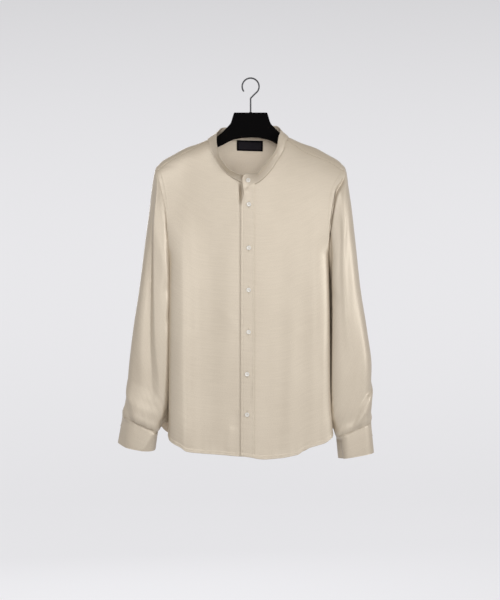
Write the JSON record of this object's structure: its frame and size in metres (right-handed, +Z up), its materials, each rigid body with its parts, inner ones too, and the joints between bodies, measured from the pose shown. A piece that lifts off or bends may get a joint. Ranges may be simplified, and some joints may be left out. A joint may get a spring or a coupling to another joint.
{
  "type": "mandarin collar shirt on hanger",
  "caption": "Long-sleeved satin shirt with a stand-up band collar, buttoned down the front, on a flat-topped hanger with a wire hook.",
  "frame": {"origin": "the seat inside the top of the hanger's hook, where a rail carries it", "axes": "+X to the wearer's left, -Y the way the front faces, +Z up"},
  "size_m": [0.5876, 0.1145, 0.8774],
  "materials": {
    "satin": "smooth champagne satin, soft sheen",
    "button_shell": "pearly white, polished",
    "label_weave": "plain dark woven label",
    "hanger_black": "matte black, soft touch",
    "hook_wire": "dark plated wire"
  },
  "bodies": {
    "root": {"back_panel": "satin", "yoke": "satin", "front_right": "satin", "front_left": "satin", "placket": "satin", "collar_band": "satin", "sleeve_right": "satin", "sleeve_left": "satin", "cuff_right": "satin", "cuff_left": "satin", "button_1": "button_shell", "button_2": "button_shell", "button_3": "button_shell", "button_4": "button_shell", "button_5": "button_shell", "button_6": "button_shell", "button_7": "button_shell", "cuff_button_right": "button_shell", "cuff_button_left": "button_shell", "neck_label": "label_weave", "hanger_body": "hanger_black", "hanger_hook": "hook_wire"}
  },
  "joints": []
}
